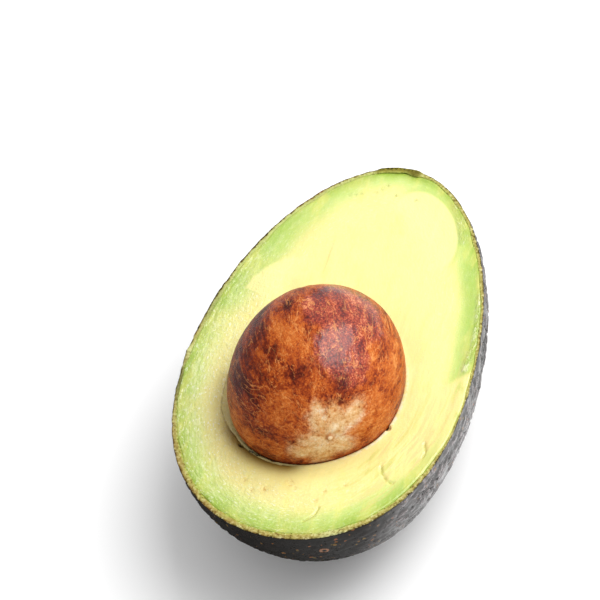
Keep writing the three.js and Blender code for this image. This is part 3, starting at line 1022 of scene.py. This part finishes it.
seed_foot = seed_points(np.zeros(1), np.zeros(1), np.zeros(1))[0]
seed_top = seed_points(np.zeros(1), np.full(1, math.pi), np.zeros(1))[0]
whole_seed = closed_piece(
    "seed_in_its_coat",
    seed_foot,
    seed_rings,
    seed_top,
    {
        "pale": seed_marks(patch_mask(seed_units, PALE_PATCHES)),
        "purple": seed_marks(patch_mask(seed_units, PURPLE_PATCHES)),
        "dark": seed_marks(patch_mask(seed_units, DARK_PATCHES)),
        "orange": seed_marks(patch_mask(seed_units, ORANGE_PATCHES)),
        "from_nub": seed_marks(from_nub),
        "fibre": seed_marks(fibre),
        "place": seed_marks(on_seed),
    },
    0,
)

coat, tree, surface = new_material("veined_seed_coat")
place = mark(tree, "place", vector=True)
fibre_place = mark(tree, "fibre", vector=True)
strokes = maths(
    tree, "MULTIPLY_ADD", speckle(tree, fibre_place, 1.5, 6.0, 0.72, 0.6), 0.6,
    times(tree, speckle(tree, place, 1.1, 6.0, 0.75, 0.8), 0.4),
)
granules = speckle(tree, place, 2.4, 5.0, 0.75)
lumps = speckle(tree, place, 0.4, 5.0, 0.7, 0.5)
mottle = maths(
    tree, "MULTIPLY_ADD", speckle(tree, fibre_place, 0.3, 8.0, 0.7, 1.0), 0.55,
    times(tree, speckle(tree, place, 0.24, 8.0, 0.7, 0.7), 0.45),
)


def shifted(value, by, share):
    """A value moved up or down by another that runs from 0 to 1."""
    return maths(tree, "MULTIPLY_ADD", maths(tree, "SUBTRACT", by, 0.5), share, value)


def ragged_mask(name, low, high, tear=1.1):
    """A patch's mask with its edges torn along the coat's fibres."""
    return rise_between(tree, shifted(shifted(mark(tree, name), strokes, tear), lumps, tear), low, high)


axes = add_node(tree, "SeparateXYZ", {0: place}).outputs
shaded_side = rise_between(tree, axes["X"], -3.0, -14.0)
mottle = maths(tree, "MULTIPLY_ADD", mark(tree, "dark"), -0.11, mottle)
mottle = maths(tree, "MULTIPLY_ADD", mark(tree, "orange"), 0.09, mottle)
mottle = maths(tree, "MULTIPLY_ADD", shaded_side, -0.05, mottle)
brown = tints(
    tree,
    shifted(shifted(mottle, strokes, 0.7), granules, 0.35),
    (
        (0.32, seen(64, 18, 8)),
        (0.39, seen(104, 34, 16)),
        (0.46, seen(146, 58, 20)),
        (0.52, seen(180, 84, 28)),
        (0.6, seen(200, 107, 42)),
        (0.72, seen(224, 148, 80)),
    ),
)
purple = tints(
    tree,
    shifted(mottle, granules, 1.0),
    (
        (0.36, seen(72, 14, 16)),
        (0.44, seen(112, 28, 24)),
        (0.52, seen(148, 48, 32)),
        (0.6, seen(190, 84, 50)),
        (0.7, seen(236, 156, 108)),
    ),
)
brown = painted(tree, brown, purple, ragged_mask("purple", 0.3, 0.6), 0.9)
beige = tints(
    tree,
    shifted(shifted(maths(tree, "MULTIPLY_ADD", mottle, 0.7, 0.18), strokes, 0.4), lumps, 0.45),
    (
        (0.36, seen(140, 60, 24)),
        (0.43, seen(186, 112, 56)),
        (0.49, seen(218, 166, 104)),
        (0.57, seen(234, 198, 148)),
        (0.68, seen(246, 228, 196)),
    ),
)
pale = ragged_mask("pale", 0.15, 1.0, 0.75)
specks = rise_between(tree, granules, 0.44, 0.36)
specks = times(tree, specks, rise_between(tree, lumps, 0.4, 0.6))
beige = painted(tree, beige, seen(150, 78, 42), specks, 0.6)
brown = painted(tree, brown, beige, pale, 0.95)


def thread_lines(place, scale, seed, thinness):
    """Thin winding lines where a noise crosses its middle."""
    moved = add_node(tree, "VectorMath", {0: place, 1: seed}, operation="ADD").outputs[0]
    wander = speckle(tree, moved, scale, 3.0, 0.5, 0.6)
    return rise_between(tree, maths(tree, "ABSOLUTE", maths(tree, "SUBTRACT", wander, 0.5)), thinness, 0.0)


threads = maths(
    tree, "MAXIMUM",
    thread_lines(fibre_place, 0.35, (7.0, 0.0, 0.0), 0.015),
    thread_lines(fibre_place, 0.6, (0.0, 31.0, 0.0), 0.015),
)
threads = times(tree, threads, blotches(tree, place, 0.3, 3.0, 0.38, 0.54))
brown = painted(tree, brown, seen(224, 146, 80), threads, 0.7)
fine_grain = blotches(tree, place, 4.0, 4.0, 0.54, 0.36, 0.7)
fine_grain = times(tree, fine_grain, maths(tree, "MULTIPLY_ADD", pale, -0.6, 1.0))
brown = painted(tree, brown, seen(92, 30, 18), fine_grain, 0.35)
nub_ring = rise_between(tree, mark(tree, "from_nub"), 0.09, 0.04)
brown = painted(tree, brown, seen(150, 84, 50), nub_ring, 0.35)
brown = mixed(tree, rise_between(tree, mark(tree, "from_nub"), 0.035, 0.02), brown, seen(236, 206, 164))
foot = rise_between(tree, axes["Z"], -4.2, -5.4, 0.0, 0.6)
foot = times(tree, foot, rise_between(tree, axes["X"], 13.0, 5.0))
brown = mixed(tree, foot, brown, seen(104, 44, 22))
rubbed = rise_between(tree, granules, 0.35, 0.65, 0.32, 0.46)
sheen = maths(tree, "MULTIPLY_ADD", ragged_mask("purple", 0.2, 0.8), 0.7, 0.03)
seed_grain = maths(tree, "MULTIPLY_ADD", granules, 1.0, times(tree, strokes, 0.8))
bump = add_node(tree, "Bump", {"Strength": 0.8, "Distance": 0.22 * MM, "Height": seed_grain})
give_surface(
    tree, surface,
    {
        "Base Color": brown, "Roughness": rubbed, "Normal": bump.outputs[0], "Specular IOR Level": 0.08,
        "Coat Weight": sheen, "Coat Roughness": 0.22,
    },
)
whole_seed.data.materials.append(coat)
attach(whole_seed, "root")
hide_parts("seed")

# The surface that the half lies on is one plain pale sheet of matt paper, flat and much wider than
# the picture
FLOOR_SIZE = 6

bpy.ops.mesh.primitive_plane_add(size=FLOOR_SIZE, location=(0, 0, 0))
floor = bpy.context.object
floor.name = "pale_floor"
paper, tree, surface = new_material("pale_paper")
give_surface(tree, surface, {"Base Color": (0.96, 0.96, 0.96, 1), "Roughness": 0.75})
floor.data.materials.append(paper)

# The light is that of a white studio: a wide soft lamp high on the right, and surroundings that are
# bright on its side and dim on the other
KEY_AZIMUTH = 116
KEY_ELEVATION = 58
KEY_DISTANCE = 0.95
KEY_SIZE = 0.75
KEY_POWER = 8.7
DIM_SIDE = 0.16
BRIGHT_SIDE = 1.0
BRIGHT_FROM = (0.78, 0.34, 0.52)


def soft_light(name, azimuth, elevation, distance, size, power):
    """A square light that faces the half from an azimuth and elevation in degrees."""
    a, e = math.radians(azimuth), math.radians(elevation)
    back = Vector((math.sin(a) * math.cos(e), -math.cos(a) * math.cos(e), math.sin(e)))
    lamp = bpy.data.lights.new(name, "AREA")
    lamp.size = size
    lamp.energy = power
    made = bpy.data.objects.new(name, lamp)
    made.location = face_middle + back * distance
    made.rotation_euler = back.to_track_quat("Z", "Y").to_euler()
    bpy.context.scene.collection.objects.link(made)


soft_light("key", KEY_AZIMUTH, KEY_ELEVATION, KEY_DISTANCE, KEY_SIZE, KEY_POWER)
world = bpy.data.worlds.new("studio")
world.use_nodes = True
tree = world.node_tree
direction = add_node(tree, "TexCoord").outputs["Generated"]
facing = add_node(tree, "VectorMath", {0: direction, 1: BRIGHT_FROM}, operation="DOT_PRODUCT")
strength = rise_between(tree, facing.outputs["Value"], -0.9, 0.9, DIM_SIDE, BRIGHT_SIDE)
tree.links.new(strength, tree.nodes["Background"].inputs["Strength"])
tree.nodes["Background"].inputs["Color"].default_value = (1, 1, 1, 1)
bpy.context.scene.world = world
bpy.context.scene.view_settings.view_transform = "Standard"
